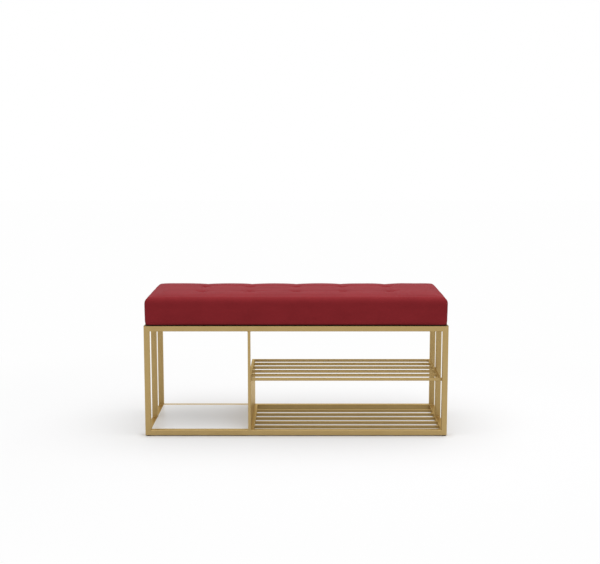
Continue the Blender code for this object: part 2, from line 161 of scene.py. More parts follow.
lamp_data = bpy.data.lights.new("overhead_lamp", "AREA")
lamp_data.shape = "RECTANGLE"
lamp_data.size = 3.6
lamp_data.size_y = 3.0
lamp_data.energy = 61.0
lamp = placed("overhead_lamp", lamp_data)
lamp.location = (0.3, -0.1, 3.0)
lamp.rotation_euler = (Vector((0.0, 0.0, 0.3)) - lamp.location).to_track_quat("-Z", "Y").to_euler()


# The welded frame, its divider and its racks: square steel tube in a satin gold metallic
# paint. The tubes are the CAD's own. The paint has a fine orange peel, a faint mottle and
# a little wear along the edges, and painted shade darkens the rails' tops under the cushion.

GOLD_PAINT = (0.475, 0.340, 0.147, 1.0)
GOLD_SHADE = (0.445, 0.312, 0.130, 1.0)
GOLD_WORN = (0.60, 0.49, 0.29, 1.0)
GOLD_GLANCE = (1.0, 0.84, 0.52, 1.0)
GOLD_METALLIC = 0.88
GOLD_ROUGHNESS = 0.40
FRAME_NODES = [
    *[f"{side}_{part}" for side in ("front", "rear")
      for part in ("bottom_rail", "top_rail", "left_post", "right_post")],
    *[f"{side}_{part}" for side in ("left", "right")
      for part in ("bottom_rail", "top_rail", "middle_post")],
    "divider_bottom_rail", "divider_front_post", "divider_rear_post", "divider_sheet",
    "upper_rack_left_rail", "upper_rack_right_rail",
    *[f"lower_rack_bar_{i}" for i in range(1, 6)],
    *[f"upper_rack_bar_{i}" for i in range(1, 7)],
]


def new_group(name, kind, inputs, outputs):
    """A node group with named sockets. Gives the group, what goes in and what comes out."""
    group = bpy.data.node_groups.new(name, kind)
    for label, holds, value in inputs:
        made = group.interface.new_socket(label, in_out="INPUT", socket_type="NodeSocket" + holds)
        if value is not None:
            made.default_value = value
    for label, holds in outputs:
        group.interface.new_socket(label, in_out="OUTPUT", socket_type="NodeSocket" + holds)
    return (group, group.nodes.new("NodeGroupInput").outputs,
            group.nodes.new("NodeGroupOutput").inputs)


def blended(tree, share, one, other):
    """One colour turning into another as the share goes from 0 to 1."""
    return add_node(tree, "ShaderNodeMix", {0: share, 6: one, 7: other},
                    data_type="RGBA").outputs[2]


def dimmed(tree, colour, factor):
    """A colour times a factor."""
    return add_node(tree, "ShaderNodeVectorMath", {0: colour, "Scale": factor},
                    operation="SCALE").outputs[0]


def noisy(tree, spot, scale, detail, roughness=0.5, distortion=0.0, stretch=None):
    """Noise over an object, drawn out where a stretch is given."""
    if stretch:
        spot = add_node(tree, "ShaderNodeMapping", {0: spot, "Scale": stretch}).outputs[0]
    return add_node(tree, "ShaderNodeTexNoise", {
        "Vector": spot, "Scale": scale, "Detail": detail, "Roughness": roughness,
        "Distortion": distortion}).outputs[0]


def new_finish(name):
    """A new material, with its tree and its shader."""
    material = bpy.data.materials.new(name)
    material.use_nodes = True
    return material, material.node_tree, material.node_tree.nodes["Principled BSDF"]


def surfaced(tree, shader, colour, height, strength, distance):
    """Gives the shader its colour, and a relief from the height."""
    bump = add_node(tree, "ShaderNodeBump", {
        "Strength": strength, "Distance": distance, "Height": height})
    tree.links.new(colour, shader.inputs["Base Color"])
    tree.links.new(bump.outputs[0], shader.inputs["Normal"])


def coated_surface_group():
    """Mottle, fine grain and worn edges for a coated hard surface, in object coordinates.
    Above the painted shade level another piece lies on it, and the colour there is darkened
    with painted shade for the shadow in the joint."""
    group, given, result = new_group("coated_surface", "ShaderNodeTree", (
        ("Colour", "Color", (0.5, 0.5, 0.5, 1.0)),
        ("Shade", "Color", (0.4, 0.4, 0.4, 1.0)),
        ("Worn", "Color", (0.8, 0.8, 0.8, 1.0)),
        ("Roughness", "Float", 0.5),
        ("Grain Scale", "Float", 1500.0),
        ("Mottle Scale", "Float", 14.0),
        ("Edge Width", "Float", 0.0012),
        ("Wear", "Float", 0.5),
        ("Painted Shade From", "Float", 10.0),
    ), (("Colour", "Color"), ("Roughness", "Float"), ("Height", "Float")))
    spot = add_node(group, "ShaderNodeTexCoord").outputs["Object"]
    mottle = noisy(group, spot, given["Mottle Scale"], 4.0, 0.6)
    toned = blended(group, spread(group, mottle, 0.32, 0.68), given["Shade"], given["Colour"])
    rounded = add_node(group, "ShaderNodeBevel", {0: given["Edge Width"]}, samples=4)
    facing = add_node(group, "ShaderNodeNewGeometry").outputs["Normal"]
    match = vectors_worked(group, "DOT_PRODUCT", rounded.outputs[0], facing)
    edge = spread(group, match, 0.995, 0.90)
    rubbed = worked(group, "MULTIPLY", edge, spread(group, noisy(group, spot, 60.0, 5.0), 0.42, 0.66))
    wear = worked(group, "MULTIPLY", rubbed, given["Wear"])
    colour = blended(group, wear, toned, given["Worn"])
    change = spread(group, mottle, 0.3, 0.7, -0.05, 0.05)
    rough = worked(group, "ADD", given["Roughness"], change)
    # Painted shade: above the given height the colour is darkened to about a sixth, for the shadow in
    # the joint under the piece that lies on it.
    level = add_node(group, "ShaderNodeSeparateXYZ", {0: spot}).outputs[2]
    over = worked(group, "SUBTRACT", level, given["Painted Shade From"])
    painted_shade = spread(group, over, 0.0, 0.0011, 1.0, 0.16, smooth=True)
    group.links.new(dimmed(group, colour, painted_shade), result["Colour"])
    group.links.new(rough, result["Roughness"])
    group.links.new(noisy(group, spot, given["Grain Scale"], 2.0, 0.55), result["Height"])
    return group


coated_surface = coated_surface_group()


def coated_material(name, look, metallic, bump_strength, bump_distance):
    """A hard coated finish. The look gives the values of the coated surface group's sockets."""
    material, tree, shader = new_finish(name)
    surface = add_node(tree, "ShaderNodeGroup", node_tree=coated_surface)
    for label, value in look.items():
        surface.inputs[label].default_value = value
    surfaced(tree, shader, surface.outputs["Colour"], surface.outputs["Height"],
             bump_strength, bump_distance)
    tree.links.new(surface.outputs["Roughness"], shader.inputs["Roughness"])
    shader.inputs["Metallic"].default_value = metallic
    return material


# The rails' tops under the cushion get painted shade, from just below the frame's top.
gold_paint = coated_material("satin_gold_paint", {
    "Colour": GOLD_PAINT, "Shade": GOLD_SHADE, "Worn": GOLD_WORN, "Roughness": GOLD_ROUGHNESS,
    "Grain Scale": 1100.0, "Mottle Scale": 16.0, "Edge Width": 0.0012, "Wear": 0.45,
    "Painted Shade From": 0.4065}, GOLD_METALLIC, 0.25, 0.00015)
gold_paint.node_tree.nodes["Principled BSDF"].inputs["Specular Tint"].default_value = GOLD_GLANCE


def finish_node(node, material):
    """Gives a CAD node its material."""
    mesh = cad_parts[node].data
    if not mesh.materials:
        mesh.materials.append(material)
    for i in range(len(mesh.materials)):
        mesh.materials[i] = material


for node in FRAME_NODES:
    finish_node(node, gold_paint)


# The welds: small beads at every joint. The outer faces are ground nearly flush before
# painting, and the inside corners keep their rippled bead, under the same gold paint.

TUBE = 0.020
TUBE_CORNER = 0.0018
BAR = 0.010
BAR_CORNER = 0.0012
FRAME_X = 0.550
FRAME_Y = 0.200
FRAME_LOW = 0.003
FRAME_HIGH = 0.408
RACK_HIGH = 0.212
DIVIDER_X = -0.175
FLUSH = 0.00034
FLUSH_SINK = 0.00024
FILLET = 0.0011
BEAD_RIPPLE = 0.13
BEAD_PITCH = 0.0026
BEAD_STEP = 0.0008
LOWER_BARS = 5
LOWER_BAR_DROP = 0.0045
UPPER_BARS = 6
RAIL_GAP = 0.0003
RACK_END_GAP = 0.0004
RACK_POST_WELD = (0.0010, 0.0115)
RACK_SIDE_WELD = 0.0085
SHEET_THICKNESS = 0.002
SHEET_POST_WELDS = (0.040, 0.112, 0.184)
SHEET_POST_WELD = 0.007
SHEET_RAIL_WELDS = (-0.150, -0.050, 0.050, 0.140)
SHEET_RAIL_WELD = 0.008
TAB_WELD_INSET = 0.001
TAB_NODES = [f"seat_tab_{i}" for i in range(1, 7)] + [f"bay_tab_{i}" for i in range(1, 5)]


def grown(name, start, tree, values):
    """Runs a node tree over a mesh and keeps what it makes as a plain mesh."""
    piece = placed(name, start)
    growth = piece.modifiers.new(name, "NODES")
    growth.node_group = tree
    for item in tree.interface.items_tree:
        if item.item_type == "SOCKET" and item.in_out == "INPUT" and item.name in values:
            growth[item.identifier] = values[item.name]
    made = bpy.data.meshes.new_from_object(
        piece.evaluated_get(bpy.context.evaluated_depsgraph_get()))
    piece.modifiers.clear()
    piece.data = made
    return piece


def bead_tree():
    """Rounded beads along a mesh's edges, as thick as its bead attribute says."""
    group, given, result = new_group("beads_along_paths", "GeometryNodeTree", (
        ("Geometry", "Geometry", None),
        ("Step", "Float", 0.001),
        ("Ripple", "Float", 0.1),
        ("Ripple Pitch", "Float", 0.003),
        ("Sides", "Int", 7),
        ("Material", "Material", None),
    ), (("Geometry", "Geometry"),))
    paths = add_node(group, "GeometryNodeMeshToCurve", {"Mesh": given["Geometry"]})
    even = add_node(group, "GeometryNodeResampleCurve", {
        "Curve": paths.outputs[0], "Length": given["Step"]}, mode="LENGTH")
    along = add_node(group, "GeometryNodeSplineParameter")
    turns = worked(group, "DIVIDE", along.outputs["Length"], given["Ripple Pitch"])
    wave = worked(group, "SINE", worked(group, "MULTIPLY", turns, 2 * math.pi))
    swell = worked(group, "MULTIPLY_ADD", wave, given["Ripple"], 1.0)
    size = add_node(group, "GeometryNodeInputNamedAttribute", {"Name": "bead"})
    thick = worked(group, "MULTIPLY", size.outputs[0], swell)
    ring = add_node(group, "GeometryNodeCurvePrimitiveCircle", {
        "Resolution": given["Sides"], "Radius": 1.0})
    bead = add_node(group, "GeometryNodeCurveToMesh", {
        "Curve": even.outputs[0], "Profile Curve": ring.outputs[0], "Scale": thick,
        "Fill Caps": True})
    real = add_node(group, "GeometryNodeRealizeInstances", {"Geometry": bead.outputs[0]})
    smooth = add_node(group, "GeometryNodeSetShadeSmooth", {"Geometry": real.outputs[0]})
    dressed = add_node(group, "GeometryNodeSetMaterial", {
        "Geometry": smooth.outputs[0], "Material": given["Material"]})
    group.links.new(dressed.outputs[0], result["Geometry"])
    return group


beads_along_paths = bead_tree()


def path_mesh(name, paths):
    """A mesh of edges only: each path is a list of points and bead sizes, closed or open."""
    points, sizes, edges = [], [], []
    for path, closed in paths:
        first = len(points)
        for point, size in path:
            points.append(tuple(point))
            sizes.append(size)
        edges.extend((i, i + 1) for i in range(first, len(points) - 1))
        if closed:
            edges.append((len(points) - 1, first))
    mesh = bpy.data.meshes.new(name)
    mesh.from_pydata(points, edges, [])
    bead = mesh.attributes.new("bead", "FLOAT", "POINT")
    bead.data.foreach_set("value", sizes)
    return mesh


def joint_ring(at, across, up, size, beads):
    """A bead round a tube's end. beads gives the sides +across, +up, -across and -up."""
    at, across, up = Vector(at), Vector(across), Vector(up)
    corner = TUBE_CORNER if size == TUBE else BAR_CORNER
    ring = []
    for turn in range(4):
        side_u = 1 if turn in (0, 3) else -1
        side_v = 1 if turn in (0, 1) else -1
        for step in range(4):
            angle = (turn + step / 3) * math.pi / 2
            bead = beads[turn] + (beads[(turn + 1) % 4] - beads[turn]) * step / 3
            sink = FLUSH_SINK * (FILLET - bead) / (FILLET - FLUSH)
            u = side_u * (size / 2 - corner) + (corner - sink) * math.cos(angle)
            v = side_v * (size / 2 - corner) + (corner - sink) * math.sin(angle)
            ring.append((at + across * u + up * v, bead))
    return ring, True


def short_bead(start, end, size=FILLET):
    """A short open bead, thinner at both ends."""
    start, end = Vector(start), Vector(end)
    shares = ((0.0, 0.45), (0.12, 1.0), (0.88, 1.0), (1.0, 0.45))
    return [(start.lerp(end, share), size * part) for share, part in shares], False


def weld_paths():
    """Each joint's ring or short run, from the frame's corners in to the tabs."""
    mid_x, mid_y = FRAME_X - TUBE / 2, FRAME_Y - TUBE / 2
    inner_x, inner_y = FRAME_X - TUBE, FRAME_Y - TUBE
    mid_low, mid_high = FRAME_LOW + TUBE / 2, FRAME_HIGH - TUBE / 2
    rail_top, rail_under = FRAME_LOW + TUBE, FRAME_HIGH - TUBE
    for side_x in (-1, 1):
        for side_z, z in ((-1, mid_low), (1, mid_high)):
            for side_y in (-1, 1):
                yield joint_ring((side_x * mid_x, side_y * mid_y, z), (0, 1, 0),
                                 (side_x, 0, side_z), TUBE, (FLUSH, FLUSH, FLUSH, FILLET))
                yield joint_ring((side_x * mid_x, side_y * inner_y, z), (side_x, 0, 0),
                                 (0, 0, side_z), TUBE, (FLUSH, FLUSH, FILLET, FILLET))
        for z in (rail_top, rail_under):
            yield joint_ring((side_x * mid_x, 0, z), (1, 0, 0), (0, 1, 0), TUBE,
                             (FLUSH, FILLET, FLUSH, FILLET))
    post_x = DIVIDER_X + BAR / 2
    for side_y in (-1, 1):
        yield joint_ring((DIVIDER_X + TUBE / 2, side_y * inner_y, mid_low), (1, 0, 0), (0, 0, 1),
                         TUBE, (FILLET, FLUSH, FILLET, FLUSH))
        for z in (rail_top, rail_under) if side_y < 0 else (rail_top,):
            yield joint_ring((post_x, side_y * (FRAME_Y - BAR / 2), z), (1, 0, 0), (0, side_y, 0),
                             BAR, (FILLET, FLUSH, FILLET, FILLET))
    lower_z = rail_top - LOWER_BAR_DROP - BAR / 2
    for number in range(1, LOWER_BARS + 1):
        y = -inner_y + number * 2 * inner_y / (LOWER_BARS + 1)
        for x in (DIVIDER_X + TUBE, inner_x):
            yield joint_ring((x, y, lower_z), (0, 1, 0), (0, 0, 1), BAR, (FILLET,) * 4)
    rack_z = RACK_HIGH - BAR / 2
    yield joint_ring((post_x, -FRAME_Y + BAR, rack_z), (1, 0, 0), (0, 0, 1), BAR,
                     (FLUSH, FILLET, FLUSH, FILLET))
    for number in range(1, UPPER_BARS + 1):
        low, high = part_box(f"upper_rack_bar_{number}")
        y = (low.y + high.y) / 2
        behind = FLUSH if number == UPPER_BARS else FILLET
        ends = [DIVIDER_X + BAR]
        if number > 1:
            ends.append(inner_x - BAR - RAIL_GAP)
        for x in ends:
            yield joint_ring((x, y, rack_z), (0, 1, 0), (0, 0, 1), BAR,
                             (behind, FLUSH, FILLET, FLUSH))
    rack_right = inner_x - BAR / 2
    yield joint_ring((rack_right, -inner_y + BAR + RACK_END_GAP, rack_z), (1, 0, 0), (0, 0, 1),
                     BAR, (FILLET, FLUSH, FILLET, FLUSH))
    start, end = RACK_POST_WELD
    for z in (RACK_HIGH - BAR, RACK_HIGH):
        yield short_bead((inner_x + start, -inner_y, z), (inner_x + end, -inner_y, z))
        yield short_bead((inner_x, -RACK_SIDE_WELD, z), (inner_x, RACK_SIDE_WELD, z))
    sheet_x = DIVIDER_X + BAR - SHEET_THICKNESS
    for y in (BAR - FRAME_Y, FRAME_Y - BAR):
        for z in SHEET_POST_WELDS:
            yield short_bead((sheet_x, y, z - SHEET_POST_WELD), (sheet_x, y, z + SHEET_POST_WELD))
    for y in SHEET_RAIL_WELDS:
        for x, z in ((sheet_x, RACK_HIGH - BAR), (DIVIDER_X + BAR, rail_top)):
            yield short_bead((x, y - SHEET_RAIL_WELD, z), (x, y + SHEET_RAIL_WELD, z))
    for node in TAB_NODES:
        low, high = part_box(node)
        y = inner_y if low.y > 0 else -inner_y
        yield short_bead((low.x + TAB_WELD_INSET, y, low.z), (high.x - TAB_WELD_INSET, y, low.z))


welds = grown("weld_beads", path_mesh("weld_paths", weld_paths()), beads_along_paths, {
    "Step": BEAD_STEP, "Ripple": BEAD_RIPPLE, "Ripple Pitch": BEAD_PITCH, "Sides": 7,
    "Material": gold_paint})
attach(welds, "root")


# The floor of the tall bay: a white laminated panel, level with the rails round it and
# screwed to four tabs from below. Its face has the faint pebble of melamine.

PANEL_WHITE = (0.93, 0.93, 0.925, 1.0)
PANEL_SHADE = (0.915, 0.915, 0.91, 1.0)

white_laminate = coated_material("white_laminate", {
    "Colour": PANEL_WHITE, "Shade": PANEL_SHADE, "Worn": (0.70, 0.68, 0.64, 1.0),
    "Roughness": 0.32, "Grain Scale": 800.0, "Mottle Scale": 5.0, "Edge Width": 0.0008,
    "Wear": 0.35}, 0.0, 0.05, 0.00005)
white_laminate.node_tree.nodes["Principled BSDF"].inputs["Specular IOR Level"].default_value = 0.9
finish_node("bay_floor_panel", white_laminate)


# The seat board: birch plywood inside the cushion's underside, which takes the screws and
# gives the cover something to be stapled to. Raw wood, with its grain along the bench.

def plywood_material():
    material, tree, shader = new_finish("birch_plywood")
    spot = add_node(tree, "ShaderNodeTexCoord").outputs["Object"]
    figure = noisy(tree, spot, 1.6, 6.0, distortion=0.8, stretch=(2.2, 38.0, 38.0))
    fibre = noisy(tree, spot, 1.0, 2.0, stretch=(60.0, 1800.0, 1800.0))
    tone = blended(tree, figure, (0.58, 0.42, 0.25, 1.0), (0.44, 0.29, 0.155, 1.0))
    fine = spread(tree, fibre, 0.35, 0.75, 0.0, 0.35)
    colour = blended(tree, fine, tone, (0.33, 0.21, 0.11, 1.0))
    surfaced(tree, shader, colour, fibre, 0.3, 0.0002)
    shader.inputs["Roughness"].default_value = 0.72
    return material


finish_node("seat_board", plywood_material())


# The glides: thin black plastic discs under the four corners, with the frosted face of
# moulded plastic.

black_plastic = coated_material("black_glide_plastic", {
    "Colour": (0.022, 0.022, 0.023, 1.0), "Shade": (0.016, 0.016, 0.017, 1.0),
    "Worn": (0.07, 0.07, 0.07, 1.0), "Roughness": 0.55, "Grain Scale": 1600.0,
    "Mottle Scale": 60.0, "Edge Width": 0.0005, "Wear": 0.5}, 0.0, 0.3, 0.0001)
for node in ("front_left_glide", "front_right_glide", "rear_left_glide", "rear_right_glide"):
    finish_node(node, black_plastic)


# The tabs: short plates of 2.5 mm steel welded inside the rails and painted with the
# frame, six under the seat board and four under the bay panel.

for node in TAB_NODES:
    finish_node(node, gold_paint)


# The screws: zinc plated pan heads with a cross recess, driven up through the tabs into
# the seat board and the bay panel. Each is turned to its own angle, as a driver leaves it.

HEAD_RADIUS = 0.0040
HEAD_HEIGHT = 0.0024
SHANK_RADIUS = 0.0019
SHANK_LENGTH = 0.0095
TIP_RADIUS = 0.0004
TIP_LENGTH = 0.0018
HEAD_PROFILE = ((0.66, 0.0), (0.80, 0.0001), (0.92, 0.0005), (1.0, 0.0012))
RECESS_LENGTH = 0.0019
RECESS_WIDTH = 0.00045
RECESS_MIDDLE = 0.58
RECESS_DEPTH = 0.0014
RECESS_TAPER = 0.55
RECESS_RIM = 0.00005
SCREW_NODES = [f"seat_screw_{i}" for i in range(1, 7)] + [f"bay_screw_{i}" for i in range(1, 5)]

zinc_plate = coated_material("zinc_plate", {
    "Colour": (0.60, 0.60, 0.58, 1.0), "Shade": (0.52, 0.53, 0.52, 1.0),
    "Worn": (0.72, 0.72, 0.70, 1.0), "Roughness": 0.34, "Grain Scale": 2200.0,
    "Mottle Scale": 220.0, "Edge Width": 0.0002, "Wear": 0.6}, 1.0, 0.15, 0.00005)


def cross_outline(size):
    """The recess's outline, with points at the turns that the head's rings share."""
    length, width = RECESS_LENGTH * size, RECESS_WIDTH * size
    middle = length * RECESS_MIDDLE
    arm = [(length, 0), (length, width), (middle, width), (width, width), (width, middle),
           (width, length)]
    outline = []
    for turn in range(4):
        angle = turn * math.pi / 2
        for x, y in arm:
            outline.append((x * math.cos(angle) - y * math.sin(angle),
                            x * math.sin(angle) + y * math.cos(angle)))
    return outline


def shape_object(name, shape, smooth=True):
    """Puts a finished shape in the scene."""
    mesh = bpy.data.meshes.new(name)
    shape.to_mesh(mesh)
    shape.free()
    if smooth:
        mesh.shade_smooth()
    return placed(name, mesh)


def skin_rings(shape, rings):
    """Closes the space between each ring of points and the next."""
    for one, two in zip(rings, rings[1:]):
        for i in range(len(one)):
            j = (i + 1) % len(one)
            shape.faces.new((one[i], one[j], two[j], two[i]))


def pan_head():
    """One screw, head down, with its foot at the origin."""
    shape = bmesh.new()
    plain = cross_outline(1.0)
    turns = [math.atan2(y, x) for x, y in plain]
    shank_end = HEAD_HEIGHT + SHANK_LENGTH
    levels = [(cross_outline(RECESS_TAPER), RECESS_DEPTH), (plain, RECESS_RIM)]
    for radius, z in [*((HEAD_RADIUS * share, z) for share, z in HEAD_PROFILE),
                      (HEAD_RADIUS, HEAD_HEIGHT), (SHANK_RADIUS, HEAD_HEIGHT),
                      (SHANK_RADIUS, shank_end), (TIP_RADIUS, shank_end + TIP_LENGTH)]:
        levels.append(([(radius * math.cos(a), radius * math.sin(a)) for a in turns], z))
    rings = [[shape.verts.new((x, y, z)) for x, y in outline] for outline, z in levels]
    skin_rings(shape, rings)
    for ring in (rings[0], rings[-1]):
        middle = shape.verts.new(sum((v.co for v in ring), Vector()) / len(ring))
        for i in range(len(ring)):
            shape.faces.new((ring[i], ring[(i + 1) % len(ring)], middle))
    bmesh.ops.recalc_face_normals(shape, faces=shape.faces)
    piece = shape_object("pan_head_screw", shape)
    piece.data.set_sharp_from_angle(angle=math.radians(40))
    return piece


def scatter_tree():
    """One copy of a piece at each point, turned by the point's heading and a little at random."""
    group, given, result = new_group("copies_on_points", "GeometryNodeTree", (
        ("Geometry", "Geometry", None),
        ("Piece", "Object", None),
        ("Random Turn", "Float", 0.1),
        ("Seed", "Int", 7),
        ("Material", "Material", None),
    ), (("Geometry", "Geometry"),))
    points = add_node(group, "GeometryNodeMeshToPoints", {"Mesh": given["Geometry"]})
    source = add_node(group, "GeometryNodeObjectInfo", {"Object": given["Piece"]})
    less = worked(group, "MULTIPLY", given["Random Turn"], -1.0)
    chance = add_node(group, "FunctionNodeRandomValue", {
        2: less, 3: given["Random Turn"], "Seed": given["Seed"]})
    heading = add_node(group, "GeometryNodeInputNamedAttribute", {"Name": "heading"})
    turn = worked(group, "ADD", heading.outputs[0], chance.outputs[1])
    angles = add_node(group, "ShaderNodeCombineXYZ", {2: turn})
    rotation = add_node(group, "FunctionNodeEulerToRotation", {0: angles.outputs[0]})
    copies = add_node(group, "GeometryNodeInstanceOnPoints", {
        "Points": points.outputs[0], "Instance": source.outputs["Geometry"],
        "Rotation": rotation.outputs[0]})
    real = add_node(group, "GeometryNodeRealizeInstances", {"Geometry": copies.outputs[0]})
    dressed = add_node(group, "GeometryNodeSetMaterial", {
        "Geometry": real.outputs[0], "Material": given["Material"]})
    group.links.new(dressed.outputs[0], result["Geometry"])
    return group


copies_on_points = scatter_tree()


def point_mesh(name, places):
    """Loose points, each with the heading that its copy turns to."""
    mesh = bpy.data.meshes.new(name)
    mesh.from_pydata([tuple(point) for point, _ in places], [], [])
    heading = mesh.attributes.new("heading", "FLOAT", "POINT")
    heading.data.foreach_set("value", [angle for _, angle in places])
    return mesh


screw_feet = []
for node in SCREW_NODES:
    low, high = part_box(node)
    screw_feet.append((((low.x + high.x) / 2, (low.y + high.y) / 2, low.z), 0.0))
one_screw = pan_head()
screws = grown("pan_head_screws", point_mesh("screw_feet", screw_feet), copies_on_points, {
    "Piece": one_screw, "Random Turn": 0.8, "Seed": 11, "Material": zinc_plate})
bpy.data.objects.remove(one_screw)
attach(screws, "root")
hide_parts(*SCREW_NODES)


# The seat cushion: a foam block on the board under a wine red velvet cover. The cover is
# pulled over the edges, stapled under the board, and sewn down to the foam at two rows of
# five tufts, with a soft fold from front to back through each pair.

CUSHION_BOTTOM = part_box("seat_cushion")[0].z
COVER_SWELL = 0.0050
FOAM_HALF_X = 0.5445
FOAM_HALF_Y = 0.1945
FOAM_TOP = CUSHION_BOTTOM + 0.0982
CUSHION_CROWN = 0.0075
CROWN_POWER_ALONG = 24
CROWN_POWER_ACROSS = 4
EDGE_ROUND = 0.0180
EDGE_STEPS = 7
CORNER_ROUND = 0.0100
CORNER_LEAST = 0.0006
CORNER_STEPS = 5
HEM_LEVELS = ((0.0, 0.0095), (0.0002, 0.0065), (0.0009, 0.0040), (0.0024, 0.0020), (0.0045, 0.0007))
HEM_HELD = 0.0015
BOARD_SPACE = 0.0126
BOARD_HALF_X = 0.535
RECESS_INSET = FOAM_HALF_X - BOARD_HALF_X
FOAM_CELL = 0.0052
TUFTS_X = [-0.347, -0.1735, 0.0, 0.1735, 0.347]
TUFTS_Y = [-0.0655, 0.0655]
TUFT_SEWN = 0.007
TUFT_HOLD = 0.84
TUFT_SPREAD = 0.030
TOP_FROM = 0.78
TOP_FADE = 0.18
FOLD_HOLD_FRONT = 0.10
FOLD_HOLD_REAR = 0.95
FOLD_WIDTH = 0.016
FOLD_ARCH = 0.45
PIT_DEPTH = 0.0042
PIT_RADIUS = 0.0150
CREASE_HEIGHT = 0.00045
CREASE_REACH = 0.016
UNEVEN_HEIGHT = 0.0006
UNEVEN_SCALE = 14
PLAIN_RISE = 0.012
CLOTH_FRAMES = 20
CLOTH_SHARE = 0.35


def stations(reach):
    """Evenly spaced lines from -reach to reach, about a cell apart."""
    count = 2 * math.ceil(reach / FOAM_CELL)
    return [-reach + 2 * reach * i / count for i in range(count + 1)]


STATIONS_X = stations(FOAM_HALF_X - CORNER_ROUND)
STATIONS_Y = stations(FOAM_HALF_Y - CORNER_ROUND)


def straight_lines(inset):
    """The corner radius at this inset, and the lines along X and Y between the corners."""
    radius = max(CORNER_ROUND - inset, CORNER_LEAST)
    reach_x = FOAM_HALF_X - inset - radius
    reach_y = FOAM_HALF_Y - inset - radius
    return (radius, [x * reach_x / STATIONS_X[-1] for x in STATIONS_X],
            [y * reach_y / STATIONS_Y[-1] for y in STATIONS_Y])


def plan_outline(inset):
    """The foam's outline from above, anticlockwise from the front left."""
    radius, xs, ys = straight_lines(inset)
    edge_x = FOAM_HALF_X - inset
    edge_y = FOAM_HALF_Y - inset
    corner_x = xs[-1]
    corner_y = ys[-1]
    points = []

    def corner(side_x, side_y, turn):
        for step in range(1, CORNER_STEPS):
            angle = turn + step / CORNER_STEPS * math.pi / 2
            points.append((side_x * corner_x + radius * math.cos(angle),
                           side_y * corner_y + radius * math.sin(angle)))

    points.extend((x, -edge_y) for x in xs)
    corner(1, -1, -math.pi / 2)
    points.extend((edge_x, y) for y in ys)
    corner(1, 1, 0.0)
    points.extend((x, edge_y) for x in reversed(xs))
    corner(-1, 1, math.pi / 2)
    points.extend((-edge_x, y) for y in reversed(ys))
    corner(-1, -1, math.pi)
    return points


def crown(x, y):
    """The foam's rise over its own edge."""
    along = 1 - min(1.0, abs(x / FOAM_HALF_X)) ** CROWN_POWER_ALONG
    across = 1 - min(1.0, abs(y / FOAM_HALF_Y)) ** CROWN_POWER_ACROSS
    return CUSHION_CROWN * along * across


def cushion_levels():
    """Rings from the top's rim over the edge, down the side and under into the recess."""
    levels = []
    for step in range(EDGE_STEPS + 1):
        angle = step / EDGE_STEPS * math.pi / 2
        drop = EDGE_ROUND * (1 - math.cos(angle))
        levels.append((EDGE_ROUND * (1 - math.sin(angle)), FOAM_TOP - drop, math.cos(angle)))
    side_top = FOAM_TOP - EDGE_ROUND
    side_low = CUSHION_BOTTOM + HEM_LEVELS[0][1]
    side_steps = round((side_top - side_low) / FOAM_CELL)
    for step in range(1, side_steps + 1):
        levels.append((0.0, side_top + (side_low - side_top) * step / side_steps, 0.0))
    for inset, rise in HEM_LEVELS[1:]:
        levels.append((inset, CUSHION_BOTTOM + rise, 0.0))
    for share in (0.0, 0.5, 1.0):
        levels.append((RECESS_INSET, CUSHION_BOTTOM + BOARD_SPACE * share, 0.0))
    return levels


def fill_inside(shape, rim, inset, height):
    """Closes a ring with an even grid, which meets the ring's round corners in small fans."""
    _, xs, ys = straight_lines(inset)
    grid = [[shape.verts.new((x, y, height(x, y))) for x in xs] for y in ys]
    for low, high in zip(grid, grid[1:]):
        for i in range(len(xs) - 1):
            shape.faces.new((low[i], low[i + 1], high[i + 1], high[i]))
    border = []
    for side in (grid[0], [row[-1] for row in grid], list(reversed(grid[-1])),
                 [row[0] for row in reversed(grid)]):
        border.extend(side)
        border.extend([side[-1]] * (CORNER_STEPS - 1))
    for i in range(len(rim)):
        j = (i + 1) % len(rim)
        corners = [rim[i], rim[j], border[j], border[i]]
        if border[i] is border[j]:
            corners.pop()
        shape.faces.new(corners)


def cushion_form():
    """The foam block's closed surface, as even quads."""
    shape = bmesh.new()
    rings = []
    for inset, z, rise in cushion_levels():
        rings.append([shape.verts.new((x, y, z + rise * crown(x, y)))
                      for x, y in plan_outline(inset)])
    count = len(rings[0])
    for above, below in zip(rings, rings[1:]):
        for i in range(count):
            j = (i + 1) % count
            shape.faces.new((above[i], below[i], below[j], above[j]))
    next_in = FOAM_CELL * 0.8
    fill_inside(shape, rings[0], EDGE_ROUND + next_in, lambda x, y: FOAM_TOP + crown(x, y))
    fill_inside(shape, rings[-1], RECESS_INSET + next_in, lambda x, y: CUSHION_BOTTOM + BOARD_SPACE)
    bmesh.ops.recalc_face_normals(shape, faces=shape.faces)
    return shape


def inside_recess(x, y, z):
    """Whether a point is in the board's recess, where nothing swells."""
    margin = RECESS_INSET - 0.0002
    return (z < CUSHION_BOTTOM + BOARD_SPACE + 0.001 and abs(x) < FOAM_HALF_X - margin
            and abs(y) < FOAM_HALF_Y - margin)


def nearest_tuft(x, y):
    """The distance to the nearest tuft, its place, and its number for its own creases."""
    return min((math.hypot(x - tx, y - ty), tx, ty, 2 * i + j)
               for i, tx in enumerate(TUFTS_X) for j, ty in enumerate(TUFTS_Y))


def clamped(value):
    """The value, held between 0 and 1."""
    return max(0.0, min(1.0, value))


